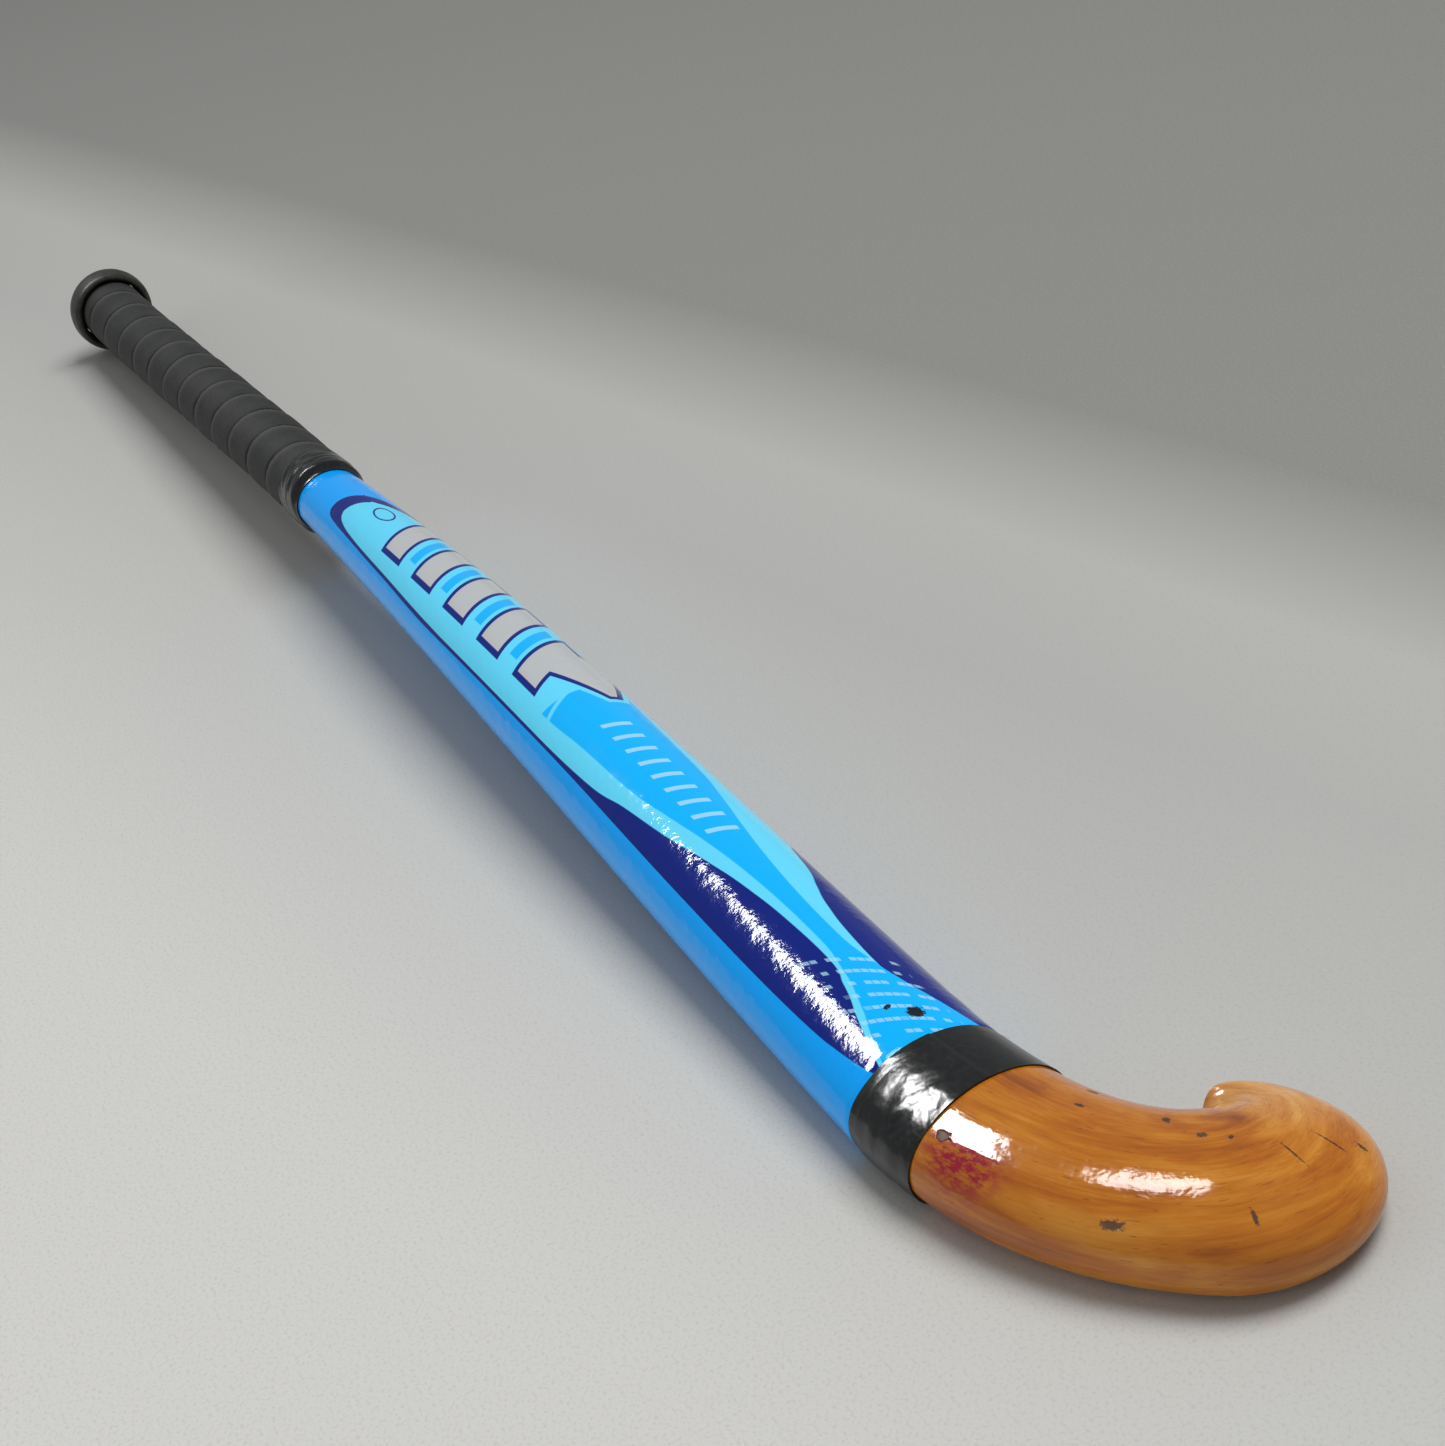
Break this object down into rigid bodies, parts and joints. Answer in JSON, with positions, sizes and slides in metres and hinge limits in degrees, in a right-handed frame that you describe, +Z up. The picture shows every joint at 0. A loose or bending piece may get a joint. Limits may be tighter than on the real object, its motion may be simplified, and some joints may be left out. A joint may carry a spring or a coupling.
{
  "type": "field hockey stick",
  "caption": "Wooden field hockey stick lying on its flat face: curved varnished head, taped throat, printed blue shaft and spiral-wrapped grip with a flared butt.",
  "frame": {"origin": "under the middle of the whole stick, on the surface that its flat face and butt ring rest on", "axes": "+X along the stick from the butt to the head, +Y towards the toe, +Z up from the flat playing face to the rounded back"},
  "size_m": [0.9268, 0.098, 0.0462],
  "materials": {
    "mulberry": "varnished, glossy",
    "cane": "raw, matte",
    "strip_rubber": "matte",
    "twine": "matte",
    "glass_cloth": "resin-soaked cloth, satin",
    "printed_film": "glossy lacquer over print",
    "grip_polyurethane": "matte, fine-grained",
    "vinyl_tape": "satin to glossy, wrinkled",
    "butt_rubber": "satin"
  },
  "bodies": {
    "root": {"head_lamination_1": "mulberry", "head_lamination_2": "mulberry", "head_lamination_3": "mulberry", "head_lamination_4": "mulberry", "head_lamination_5": "mulberry", "cane_left": "cane", "rubber_strip_left": "strip_rubber", "cane_middle": "cane", "rubber_strip_right": "strip_rubber", "cane_right": "cane", "handle_binding": "twine", "glass_layer_inner": "glass_cloth", "glass_layer_outer": "glass_cloth", "printed_film": "printed_film", "grip_wrap": "grip_polyurethane", "grip_finishing_tape": "vinyl_tape", "butt_cap": "butt_rubber", "butt_ring": "butt_rubber", "head_tape_inner_turn": "vinyl_tape", "head_tape_outer_turn": "vinyl_tape"}
  },
  "joints": []
}
